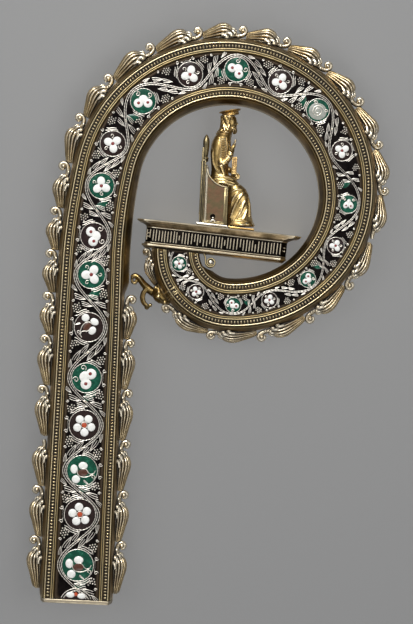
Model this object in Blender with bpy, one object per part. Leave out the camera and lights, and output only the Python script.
"""Crosier head in silver gilt: a shaft that bends into a volute, lying on its flat back.

The shaft runs along +Y from its foot, the volute turns towards +X and the front faces up, +Z.
The floor that it lies on is z = 0. Sizes below are in millimetres and turned to metres by MM.
"""

import bpy
from math import atan2, cos, pi, radians, sin

MM = 0.001
ORIGIN = (69.6, 168.8, 0.0)    # of the world, in the shaft's own frame
GAP = 0.3                      # clearance between pieces that are soldered together

# ---- the crook's centre line -------------------------------------------------------------
SHAFT_LENGTH = 193.0           # straight run from the foot
BENDS = ((320.0, 10.5), (70.3, 163.0), (64.7, 98.0), (30.6, 87.0))   # radius, degrees
BEND_STEP = 9.0                # degrees from one section to the next

# ---- the crook's section -----------------------------------------------------------------
THICKNESS = 30.0
MIDDLE = THICKNESS / 2
# half the panel's width, by station along the centre line
PANEL_HALF_WIDTHS = (
    (0, 12.3), (155, 11.2), (235, 9.8), (330, 9.6), (400, 8.9), (460, 6.9), (520, 5.9), (620, 5.6),
)
PANEL_RECESS = 1.6
# width of the mouldings from the panel to the crook's edge, by station
OUTER_MOULDING = ((0, 8.6), (8, 9.5), (620, 9.5))
# the inner one is narrower where it carries leaves, and its band leaves the body at the end curl
INNER_MOULDING = (
    (0, 8.0), (178, 8.0), (184, 10.4), (215, 10.4), (260, 9.5), (584, 9.5), (594, 6.6), (620, 6.6),
)
STRAIGHT_STATIONS = (8.0, 155.0, 178.0, 184.0)   # of the shaft's sections between its ends
EDGE_DEPTH = 9.5               # of the crook's edge below the face
# distance out from the panel's edge, depth below the face
FRONT_MOULDING = ((0, PANEL_RECESS), (0, 0.4), (3.2, 0.4), (4.1, 0), (6.2, 0.4), (6.5, 2.0))
BACK_MOULDING = ((0, PANEL_RECESS), (0, 0), (6.2, 0))

# ---- panels ------------------------------------------------------------------------------
PANEL_TOP = 0.6                # below the front
ROUNDEL_STATIONS = (
    22, 51, 76, 102, 129, 158, 188, 210, 239, 264, 294, 325,
    352, 378, 405, 432, 463, 488, 513, 538, 559, 582, 601,
)
ROUNDEL_FILL = 0.78            # of the panel's half width
ROUNDEL_SIDES = 8
ROUNDEL_TOP = 0.15             # below the front
ROUNDEL_ROOT = 0.3             # depth that a roundel runs down into the panel

# ---- foot --------------------------------------------------------------------------------
PLATE_THICKNESS = 2.2
PLATE_MARGIN = 0.4             # the plate stays this far inside the face and the back

# ---- crockets ----------------------------------------------------------------------------
CROCKET_LINE = 24.0            # offset from the centre line where their spacing is even
OUTER_FIRST_PEAK = 22.0
# how many leaves follow at what pitch; the last one stands beyond the strut
OUTER_STEPS = (
    (4, 29.0), (4, 24.6), (1, 31.0), (1, 27.0), (2, 30.0), (2, 26.0), (5, 27.7), (5, 31.5), (1, 43.4),
)
INNER_FIRST_PEAK = 20.8
INNER_STEPS = ((4, 29.2), (1, 25.2))
ROOT_REACH = 15.5              # from a leaf's root to its peak, where there is room
BUD_REACH = 14.2               # from its peak to the next leaf's root
BUD_GROWTH = ((29.0, 1.0), (31.5, 1.18), (43.4, 1.35))   # by the pitch to the next leaf
LAST_PITCH = 27.0
LAST_ROOM = 11.0               # for the root of the outer leaf beyond the strut
# leaves stand higher round the volute's crown and lower near its end
OUTER_REACH = (
    (0, 1.05), (140, 1.09), (330, 1.15), (460, 1.13), (490, 1.05), (520, 1.0), (545, 0.92), (640, 0.95),
    (670, 0.8), (703, 0.84), (746, 0.66),
)
INNER_REACH = ((0, 0.93), (165, 0.96))
BROKEN_BUDS = (3, 20)          # outer leaves whose buds are lost
# distance past the peak along the growth: inner face, outer face, half width
LEAF = (
    (-15.5, 0.0, 3.7, 2.4), (-13.0, 0.0, 4.7, 3.2), (-5.5, 0.0, 6.6, 5.2),
    (0.0, 0.0, 8.3, 7.6), (4.4, 0.1, 7.5, 7.4), (6.9, 0.3, 4.2, 3.8),
)
STALK_AND_BUD = (
    (8.5, 0.3, 2.4, 1.3), (10.0, 2.7, 7.4, 2.1), (12.5, 3.1, 8.6, 2.7), (14.4, 5.0, 7.9, 1.5),
)
# outline across a leaf: share of its rise, share of its half width
LEAF_SIDE = ((0.0, 0.6), (0.55, 1.0))
FLUTE = 0.42                   # share of the half width where a flute runs
FLUTE_RISE = 0.80
PLAIN_RISE = 0.90

# ---- strut between the shaft and the volute --------------------------------------------------
STRUT_STEM = ((22.8, 187.8), (24.4, 188.9), (27.0, 187.4), (29.6, 184.2), (33.0, 181.2), (37.0, 178.4))
STRUT_HOOK = ((23.0, 189.0), (22.7, 186.4), (23.4, 184.8), (25.0, 184.6), (25.9, 186.0))
STRUT_CUP = ((31.0, 181.0), (29.6, 178.6), (29.4, 175.8), (30.8, 173.6), (32.6, 171.6))
# along the crockets' line: height over the edge, half width
STRUT_LEAF = ((722.2, 3.4, 2.6), (725.4, 6.4, 4.2), (730.0, 6.8, 4.6), (734.2, 3.6, 3.0))

# ---- end curl ----------------------------------------------------------------------------
CURL_MIDDLE = (67.6, 198.4)
CURL_RADIUS = 3.3
CURL_PIN_RADIUS = 1.1
CURL_PIN_PROUD = 1.0
CURL_INSET = 4.0               # the roll is narrower than the crook by this at each side

# ---- platform, in its own run (u) and rise (v) ----------------------------------------------
PLATFORM_FOOT = (27.7, 205.5)  # lower left corner
PLATFORM_TILT = -3.8
PLATFORM_PLAN = ((1.6, 5.0), (5.0, 9.5), (27.0, 13.4), (79.5, 13.4), (82.6, 9.0))
# rise, growth at the left, at the right, and in depth
PLATFORM_LEVELS = (
    (0.0, 0.6, -0.9, -0.9), (0.9, 1.8, 0.0, 0.2), (2.0, 1.8, 0.4, 0.2),
    (2.8, 0.0, 0.0, -0.6), (3.0, 0.0, 0.0, 0.0), (11.9, 0.0, 0.0, 0.0),
    (12.7, 0.9, 1.2, 0.5), (13.7, 2.0, 3.2, 0.8), (14.5, 4.6, 6.6, 1.1), (15.9, 6.0, 7.6, 1.3),
)
PLATFORM_TOP = PLATFORM_LEVELS[-1][0]

# ---- throne ------------------------------------------------------------------------------
THRONE_HALF_WIDTH = 10.0
THRONE_BACK = 60.0
THRONE_FRONT = 75.7
THRONE_SOLE = 1.3              # plate under the throne
SEAT = 241.6
BACK_TOP = 257.0
BACK_THICKNESS = 2.2
ARM_THICKNESS = 1.5
ARM_MARGIN = 0.1               # from the throne's side
ARM_REACH = (13.3, 12.8)       # along and up, from the seat's front to the back
ARM_INSET = 0.2                # of its front end behind the seat's
ARM_ROOT = 4.0                 # depth that it runs down into the seat
ARM_STEPS = 6
SOLE_MARGIN = (1.2, 0.4, 0.6)  # of the sole past the back, the front and each side
FINIAL_OFFSET = 1.6            # from the back's rear face
FINIAL_INSET = 1.7             # from the throne's side
FINIAL_ROOT = 0.4
# rise above the back's top, radius
FINIAL = ((0.0, 0.9), (0.6, 1.5), (1.8, 1.5), (2.4, 0.8), (4.0, 0.9), (9.0, 1.6), (11.5, 1.3), (15.0, 0.2))

# ---- figure ------------------------------------------------------------------------------
CROWN_FOOT = (75.3, 280.9)
CROWN_TILT = radians(12.0)
CROWN_LEVELS = ((0.0, 4.6), (2.6, 4.8), (5.6, 5.6))   # height over its foot, radius
CROWN_SIDES = 10
FIGURE_SOLE = (76.7, 91.6, 1.2)   # plate under the feet: from x, to x, thickness
FIGURE_SOLE_HALF = 8.6
BOOK_LOW, BOOK_HIGH, BOOK_HALF = (77.2, 249.6), (80.0, 259.8), 3.4
# level ovals: height, middle x, half length, half width
ROBE_LEVELS = (
    (219.6, 84.4, 7.6, 9.4), (222.6, 83.8, 7.0, 8.6), (228.0, 83.2, 6.6, 7.6), (234.0, 82.8, 6.0, 7.6),
    (239.0, 82.0, 5.2, 7.8), (241.6, 81.0, 4.6, 7.4), (243.6, 79.8, 3.0, 6.4),
)
LAP_LEVELS = ((242.2, 73.6, 9.0, 7.6), (245.8, 72.6, 8.2, 7.6), (248.6, 72.0, 6.8, 7.2))
TORSO_LEVELS = (
    (247.6, 70.8, 5.6, 7.0), (252.0, 70.4, 4.9, 7.4), (257.0, 70.4, 5.2, 8.4), (262.0, 70.4, 5.7, 9.2),
    (266.5, 70.6, 5.3, 8.8), (270.0, 71.6, 4.2, 6.8), (272.6, 72.8, 3.0, 4.2),
)
SLEEVE_LEVELS = ((254.0, 72.0, 3.6, 6.4), (258.6, 74.0, 3.4, 6.2), (265.6, 77.0, 1.8, 4.6))
# middle (z from mid thickness), radii, sides, rows
FIGURE_BALLS = (
    ("figure_head", (75.0, 277.2, 0.0), (4.4, 6.0, 4.0), 8, 5),
    ("figure_hair", (73.0, 276.0, 0.0), (3.9, 5.6, 4.8), 8, 5),
    ("figure_beard", (77.0, 272.2, 0.0), (2.2, 3.2, 2.4), 8, 5),
    ("figure_hand", (78.0, 267.6, 3.0), (1.4, 2.8, 1.6), 6, 4),
    ("figure_fist", (80.4, 248.6, -2.0), (1.7, 2.4, 2.6), 6, 4),
)
POLE_REACH = 0.96              # how far up to its poles a ball is drawn

# ---- materials ---------------------------------------------------------------------------
MATERIALS = {
    "silver_gilt": ((0.42, 0.27, 0.09), 1.0, 0.32),
    "silver": ((0.62, 0.60, 0.56), 1.0, 0.35),
    "enamel_ground": ((0.012, 0.011, 0.013), 0.0, 0.2),
}


def material(name):
    """Gives the named material, made once."""
    found = bpy.data.materials.get(name)
    if found:
        return found
    colour, metallic, roughness = MATERIALS[name]
    made = bpy.data.materials.new(name)
    made.use_nodes = True
    made.diffuse_color = (*colour, 1.0)
    shader = made.node_tree.nodes["Principled BSDF"]
    shader.inputs["Base Color"].default_value = (*colour, 1.0)
    shader.inputs["Metallic"].default_value = metallic
    shader.inputs["Roughness"].default_value = roughness
    return made


def add_object(name, points, faces, finish="silver_gilt", sharp=35.0):
    """Makes an object from points in millimetres."""
    mesh = bpy.data.meshes.new(name)
    mesh.from_pydata([tuple((c - o) * MM for c, o in zip(p, ORIGIN)) for p in points], [], faces)
    mesh.validate()
    mesh.shade_smooth()
    mesh.set_sharp_from_angle(angle=radians(sharp))
    made = bpy.data.objects.new(name, mesh)
    bpy.context.scene.collection.objects.link(made)
    mesh.materials.append(material(finish))
    return made


def loft(rings):
    """Joins rings of equal length and caps both ends. Rings run anticlockwise seen from the last one."""
    count = len(rings[0])
    points = [p for ring in rings for p in ring]
    faces = [tuple(reversed(range(count)))]
    for r in range(len(rings) - 1):
        for i in range(count):
            j = (i + 1) % count
            faces.append((r * count + i, r * count + j, (r + 1) * count + j, (r + 1) * count + i))
    faces.append(tuple(range((len(rings) - 1) * count, len(rings) * count)))
    return points, faces


def fuse(base, others, operation="UNION"):
    """Adds the other shapes to base, or cuts them away, in one step."""
    group = bpy.data.collections.new(f"{base.name}_{operation.lower()}")
    for other in others:
        other.hide_render = True
        other.display_type = "WIRE"
        group.objects.link(other)
    step = base.modifiers.new(group.name, "BOOLEAN")
    step.operation = operation
    step.solver = "EXACT"
    step.operand_type = "COLLECTION"
    step.collection = group
    return base


def between(table, x):
    """Reads a table of (x, value) pairs along straight lines."""
    for (x0, y0), (x1, y1) in zip(table, table[1:]):
        if x <= x1:
            return y0 + (y1 - y0) * max(0.0, x - x0) / (x1 - x0)
    return table[-1][1]


# ---- the centre line -----------------------------------------------------------------------

def centre(station):
    """Point and heading of the centre line at a distance from the foot. Heading 0 is along +Y."""
    if station <= SHAFT_LENGTH:
        return 0.0, station, 0.0
    x, y, heading = 0.0, SHAFT_LENGTH, 0.0
    left = station - SHAFT_LENGTH
    for radius, turn in BENDS:
        angle = min(left / radius, radians(turn))
        middle_x = x + radius * cos(heading)
        middle_y = y - radius * sin(heading)
        heading += angle
        x = middle_x - radius * cos(heading)
        y = middle_y + radius * sin(heading)
        left -= angle * radius
        if left <= 1e-9:
            return x, y, heading
    return x + left * sin(heading), y + left * cos(heading), heading


def place(station, out, z):
    """Point at an offset from the centre line, positive towards the crook's outer edge."""
    x, y, heading = centre(station)
    return x - out * cos(heading), y + out * sin(heading), z


def section_stations():
    """Stations where the crook's section is drawn."""
    stations = [PLATE_THICKNESS + GAP, *STRAIGHT_STATIONS, SHAFT_LENGTH]
    start = SHAFT_LENGTH
    for radius, turn in BENDS:
        steps = max(2, round(turn / BEND_STEP))
        stations += [start + radius * radians(turn) * i / steps for i in range(1, steps + 1)]
        start = stations[-1]
    return stations


def station_on_line(length):
    """Station of a point that lies this far along the crockets' line."""
    if length <= SHAFT_LENGTH:
        return length
    station, left = SHAFT_LENGTH, length - SHAFT_LENGTH
    for radius, turn in BENDS:
        arc = radius * radians(turn)
        stretch = (radius + CROCKET_LINE) / radius
        if left <= arc * stretch:
            return station + left / stretch
        station += arc
        left -= arc * stretch
    return station + left


def panel_half_width(station):
    """Half the panel's width at a station."""
    return between(PANEL_HALF_WIDTHS, station)


def edge(station, side):
    """Offset of the crook's edge from its centre line: side is 1 on the outside and -1 inside."""
    width = between(OUTER_MOULDING if side > 0 else INNER_MOULDING, station)
    return panel_half_width(station) + width


# ---- body and panels -------------------------------------------------------------------------

def body_section(station):
    """Outline of the crook across its centre line: front from inside to outside, then the back."""
    half = panel_half_width(station)
    ring = []
    for profile, face, sign in ((FRONT_MOULDING, THICKNESS, -1), (BACK_MOULDING, 0.0, 1)):
        run = []
        for side in (-1, 1):
            moulding = [(side * (half + out), face + sign * depth) for out, depth in profile]
            moulding.append((side * edge(station, side), face + sign * EDGE_DEPTH))
            run += moulding[::-1] if side < 0 else moulding
        ring += run if sign < 0 else run[::-1]
    return [place(station, out, z) for out, z in ring]


def platform_point(u, v, z):
    """Point of the platform, at u along it and v above its underside."""
    tilt = radians(PLATFORM_TILT)
    x = PLATFORM_FOOT[0] + u * cos(tilt) - v * sin(tilt)
    y = PLATFORM_FOOT[1] + u * sin(tilt) + v * cos(tilt)
    return x, y, z


def trim_under_platform(made):
    """Cuts a piece off flat, just under the platform. The cut starts past the shaft."""
    deep = 60.0
    low, high = (0.0, -GAP), (50.0, 30.0)
    corners = [(low[0], low[1]), (high[0], low[1]), (high[0], high[1]), (low[0], high[1])]
    rings = [[platform_point(u, v, z) for u, v in corners] for z in (-deep, deep)]
    cutter = add_object(made.name + "_trim", *loft(rings))
    fuse(made, [cutter], "DIFFERENCE")
    return made


def make_body():
    """The shaft and volute in one piece, recessed for a panel on each face."""
    stations = section_stations()
    rings = [list(reversed(body_section(s))) for s in stations]
    return trim_under_platform(add_object("crook_body", *loft(rings), sharp=25.0))


def panel_rings(bottom, top):
    """Rings of a flat strip that lies in the crook's recess."""
    rings = []
    for station in section_stations():
        half = panel_half_width(station) - GAP
        corners = ((-half, bottom), (-half, top), (half, top), (half, bottom))
        rings.append([place(station, out, z) for out, z in reversed(corners)])
    return rings


def make_front_panel():
    """The strip of wire and enamel, with its roundels standing a little proud."""
    top = THICKNESS - PANEL_TOP
    panel = add_object(
        "front_panel", *loft(panel_rings(THICKNESS - PANEL_RECESS + GAP, top)), finish="enamel_ground")
    discs = []
    for index, station in enumerate(ROUNDEL_STATIONS):
        radius = ROUNDEL_FILL * panel_half_width(station)
        x, y, heading = centre(station)
        rings = []
        for z in (top - ROUNDEL_ROOT, THICKNESS - ROUNDEL_TOP):
            turns = [heading + 2 * pi * i / ROUNDEL_SIDES for i in range(ROUNDEL_SIDES)]
            rings.append([(x + radius * cos(t), y + radius * sin(t), z) for t in turns])
        discs.append(add_object(f"roundel_{index + 1:02d}", *loft(rings), finish="enamel_ground"))
    return trim_under_platform(fuse(panel, discs))


def make_back_panel():
    """The plain strip of the back."""
    rings = panel_rings(PANEL_TOP, PANEL_RECESS - GAP)
    return trim_under_platform(add_object("back_panel", *loft(rings)))


def make_base_plate():
    """A plate on the foot, of the foot's outline without its panels."""
    shoulder = panel_half_width(0) + FRONT_MOULDING[-1][0]
    inside, outside = -edge(0, -1), edge(0, 1)
    half = [(inside, EDGE_DEPTH), (-shoulder, PLATE_MARGIN), (shoulder, PLATE_MARGIN), (outside, EDGE_DEPTH)]
    outline = [(out, THICKNESS - depth) for out, depth in half]
    outline += [(out, depth) for out, depth in reversed(half)]
    rings = [[place(y, out, z) for out, z in reversed(outline)] for y in (0.0, PLATE_THICKNESS)]
    return add_object("base_plate", *loft(rings), finish="silver")


# ---- crockets ----------------------------------------------------------------------------------

def leaf_ring(inner, outer, half, fluted):
    """Outline of a leaf across its growth: a back, two sides and a ridge between two flutes."""
    shares = LEAF_SIDE + ((FLUTE_RISE if fluted else PLAIN_RISE, FLUTE),)
    side = [(inner + share * (outer - inner), -width * half) for share, width in shares]
    return side + [(outer, 0.0)] + [(v, -z) for v, z in reversed(side)]


def make_crocket(name, peak, root, growth, side, reach, bud=True):
    """One leaf with its bud, its peak at a given length along the crockets' line.

    root is the distance back to its root, growth stretches what lies past the peak.
    """
    parts = [(row, True) for row in LEAF]
    parts += [(row, False) for row in STALK_AND_BUD[:None if bud else 1]]
    rings = []
    for (u, inner, outer, half), fluted in parts:
        line = peak + u * (root / ROOT_REACH if u < 0 else growth)
        station = station_on_line(line) if side > 0 else line
        foot = edge(station, side) + GAP
        ring = leaf_ring(inner * reach, outer * reach, half, fluted)
        points = [place(station, side * (foot + v), MIDDLE + z) for v, z in ring]
        rings.append(points if side > 0 else list(reversed(points)))
    return add_object(name, *loft(rings), sharp=50.0)


def make_crocket_row(name, first, steps, side, reaches, last_room=ROOT_REACH, broken=()):
    """Leaves along one edge, from runs of even pitches."""
    pitches = [pitch for count, pitch in steps for _ in range(count)] + [LAST_PITCH]
    peak, room = first, ROOT_REACH
    for index, pitch in enumerate(pitches, start=1):
        growth = between(BUD_GROWTH, pitch)
        root = min(room, ROOT_REACH if index < len(pitches) else last_room)
        make_crocket(
            f"{name}_{index:02d}", peak, root, growth, side, between(reaches, peak), bud=index not in broken)
        peak += pitch
        room = pitch - BUD_REACH * growth


def make_crockets():
    """The leaves along the outer edge and up the shaft's inner one."""
    make_crocket_row("crocket_outer", OUTER_FIRST_PEAK, OUTER_STEPS, 1, OUTER_REACH, LAST_ROOM, BROKEN_BUDS)
    make_crocket_row("crocket_inner", INNER_FIRST_PEAK, INNER_STEPS, -1, INNER_REACH)


# ---- round forms ---------------------------------------------------------------------------------

def tube(name, points, radii, deep, sides=6):
    """A bar through points of the x-y plane at mid thickness, deep times as deep as it is wide."""
    rings = []
    for index, (x, y) in enumerate(points):
        before = points[max(index - 1, 0)]
        after = points[min(index + 1, len(points) - 1)]
        heading = atan2(after[1] - before[1], after[0] - before[0])
        ring = []
        for i in range(sides):
            turn = 2 * pi * i / sides
            out = radii[index] * cos(turn)
            depth = radii[index] * deep * sin(turn)
            ring.append((x - out * sin(heading), y + out * cos(heading), MIDDLE + depth))
        rings.append(list(reversed(ring)))
    return add_object(name, *loft(rings))


def ball(name, middle, radii, sides, rows):
    """An ellipsoid with small flats at its poles, which lie along Y."""
    rings = []
    for r in range(rows + 1):
        lift = pi * (r / rows - 0.5) * POLE_REACH
        ring = []
        for i in range(sides):
            turn = 2 * pi * i / sides
            x = middle[0] + radii[0] * cos(lift) * cos(turn)
            z = middle[2] + radii[2] * cos(lift) * sin(turn)
            ring.append((x, middle[1] + radii[1] * sin(lift), z))
        rings.append(list(reversed(ring)))
    return add_object(name, *loft(rings))


def prism(name, outline, low, high, finish="silver_gilt"):
    """A straight body of an outline in the x-y plane, given anticlockwise."""
    rings = [[(x, y, z) for x, y in outline] for z in (low, high)]
    return add_object(name, *loft(rings), finish=finish)


def circle(middle, radius, sides):
    """Corners of a regular polygon."""
    turns = [2 * pi * i / sides for i in range(sides)]
    return [(middle[0] + radius * cos(t), middle[1] + radius * sin(t)) for t in turns]


def box(name, low, high):
    """A block between two opposite corners."""
    outline = ((low[0], low[1]), (high[0], low[1]), (high[0], high[1]), (low[0], high[1]))
    return prism(name, outline, low[2], high[2])


def level_stack(name, levels, sides=10):
    """A body of level ovals: each is height, middle x, half length, half width."""
    rings = []
    for height, x, length, width in levels:
        turns = [2 * pi * (i + 0.5) / sides for i in range(sides)]
        rings.append([(x + length * cos(t), height, MIDDLE - width * sin(t)) for t in turns])
    return add_object(name, *loft(rings), sharp=60.0)


# ---- strut and end curl ----------------------------------------------------------------------------

def make_strut_leaf():
    """The strut's leaf, which hugs the volute's edge."""
    rings = []
    for line, outer, half in STRUT_LEAF:
        station = station_on_line(line)
        foot = edge(station, 1) + GAP
        rings.append([place(station, foot + v, MIDDLE + z) for v, z in leaf_ring(0.0, outer, half, True)])
    return add_object("strut_leaf", *loft(rings), sharp=50.0)


def make_bracket():
    """A leafy stem from the shaft to the volute, with a hook at its start and a cup below."""
    stem = tube("bracket_tendril", STRUT_STEM, (1.6, 1.9, 2.3, 2.6, 2.8, 2.4), deep=1.3)
    hook = tube("strut_hook", STRUT_HOOK, (1.0, 1.1, 1.1, 1.0, 0.8), deep=1.3)
    cup = tube("strut_cup", STRUT_CUP, (1.4, 1.6, 1.7, 1.5, 1.6), deep=1.6)
    return fuse(stem, [hook, cup, make_strut_leaf()])


def make_curl():
    """The rolled end of the inner band, with the pin that it is rolled round."""
    roll = prism("terminal_curl", circle(CURL_MIDDLE, CURL_RADIUS, 12), CURL_INSET, THICKNESS - CURL_INSET)
    pin_low, pin_high = CURL_INSET - CURL_PIN_PROUD, THICKNESS - CURL_INSET + CURL_PIN_PROUD
    pin = prism("curl_pin", circle(CURL_MIDDLE, CURL_PIN_RADIUS, 8), pin_low, pin_high)
    return fuse(roll, [pin])


# ---- platform, throne, figure ------------------------------------------------------------------------

def make_platform():
    """A console with a hollow moulding under its top and a plain band, canted at both ends."""
    low, high = PLATFORM_PLAN[0][0], PLATFORM_PLAN[-1][0]
    deep = max(z for _, z in PLATFORM_PLAN)
    plan = list(PLATFORM_PLAN) + [(u, -z) for u, z in reversed(PLATFORM_PLAN)]
    rings = []
    for rise, left, right, depth in PLATFORM_LEVELS:
        ring = []
        for u, z in plan:
            share = (u - low) / (high - low)
            wide = low - left + share * (high - low + left + right)
            ring.append(platform_point(wide, rise, MIDDLE + z * (deep + depth) / deep))
        rings.append(ring)
    return add_object("platform", *loft(rings), sharp=25.0)


def on_platform(x, rise=0.0):
    """Point over the platform's top at a given x, clear of it."""
    tilt = radians(PLATFORM_TILT)
    v = PLATFORM_TOP + GAP + rise
    u = (x - PLATFORM_FOOT[0] + v * sin(tilt)) / cos(tilt)
    return platform_point(u, v, 0.0)[:2]


def standing(x0, x1, top):
    """Outline that stands on the platform between two x and rises to a level top."""
    return [on_platform(x0), on_platform(x1), (x1, top), (x0, top)]


def sole(x0, x1, thickness):
    """Outline of a thin plate that lies on the platform."""
    return [on_platform(x0), on_platform(x1), on_platform(x1, thickness), on_platform(x0, thickness)]


def throne_arm():
    """Side outline of the throne's arm, which sweeps down from the back to the seat's front."""
    along, up = ARM_REACH
    front, low = THRONE_FRONT - ARM_INSET, SEAT - ARM_ROOT
    sweep = [radians(180 + 90 * i / ARM_STEPS) for i in range(ARM_STEPS + 1)]
    curve = [(min(THRONE_FRONT + along * cos(t), front), SEAT + up * (1 + sin(t))) for t in sweep]
    return [(curve[0][0], low), (front, low)] + curve[::-1]


def make_finial(name, z):
    """A turned knop and bud on one corner of the throne's back."""
    rings = []
    for rise, radius in FINIAL:
        ring = circle((THRONE_BACK + FINIAL_OFFSET, z), radius, 6)
        rings.append([(x, BACK_TOP - FINIAL_ROOT + rise, depth) for x, depth in reversed(ring)])
    return add_object(name, *loft(rings))


def make_throne():
    """A box seat on a sole plate, with a tall back, two sweeping arms and two finials."""
    low, high = MIDDLE - THRONE_HALF_WIDTH, MIDDLE + THRONE_HALF_WIDTH
    behind, before, beside = SOLE_MARGIN
    seat = prism("throne", standing(THRONE_BACK, THRONE_FRONT, SEAT), low, high)
    sole_outline = sole(THRONE_BACK - behind, THRONE_FRONT + before, THRONE_SOLE)
    forms = [
        prism("throne_back", standing(THRONE_BACK, THRONE_BACK + BACK_THICKNESS, BACK_TOP), low, high),
        prism("throne_sole", sole_outline, low - beside, high + beside),
        make_finial("throne_finial_near", high - FINIAL_INSET),
        make_finial("throne_finial_far", low + FINIAL_INSET),
    ]
    for side, z in (("near", high - ARM_THICKNESS - ARM_MARGIN), ("far", low + ARM_MARGIN)):
        forms.append(prism("throne_arm_" + side, throne_arm(), z, z + ARM_THICKNESS))
    return fuse(seat, forms)


def figure_crown():
    """A flat crown, tilted back so that it rises towards the figure's front."""
    rings = []
    for lift, radius in CROWN_LEVELS:
        ring = []
        for i in range(CROWN_SIDES):
            turn = 2 * pi * (i + 0.5) / CROWN_SIDES
            along = radius * cos(turn)
            x = CROWN_FOOT[0] - lift * sin(CROWN_TILT) + along * cos(CROWN_TILT)
            y = CROWN_FOOT[1] + lift * cos(CROWN_TILT) + along * sin(CROWN_TILT)
            ring.append((x, y, MIDDLE - radius * sin(turn)))
        rings.append(ring)
    return add_object("figure_crown", *loft(rings), sharp=60.0)


def make_figure():
    """A seated, crowned figure with a book, its knees towards +X."""
    robe = level_stack("seated_figure", ROBE_LEVELS)
    forms = [
        prism("figure_sole", sole(*FIGURE_SOLE), MIDDLE - FIGURE_SOLE_HALF, MIDDLE + FIGURE_SOLE_HALF),
        level_stack("figure_lap", LAP_LEVELS),
        level_stack("figure_torso", TORSO_LEVELS),
        level_stack("figure_sleeve", SLEEVE_LEVELS, sides=8),
        figure_crown(),
        box("figure_book", (BOOK_LOW[0], BOOK_LOW[1], MIDDLE - BOOK_HALF), (*BOOK_HIGH, MIDDLE + BOOK_HALF)),
    ]
    for name, (x, y, z), radii, sides, rows in FIGURE_BALLS:
        forms.append(ball(name, (x, y, MIDDLE + z), radii, sides, rows))
    return fuse(robe, forms)


def main():
    for old in list(bpy.data.objects):
        bpy.data.objects.remove(old, do_unlink=True)
    make_body()
    make_front_panel()
    make_back_panel()
    make_base_plate()
    make_crockets()
    make_bracket()
    make_curl()
    make_platform()
    make_throne()
    make_figure()


main()
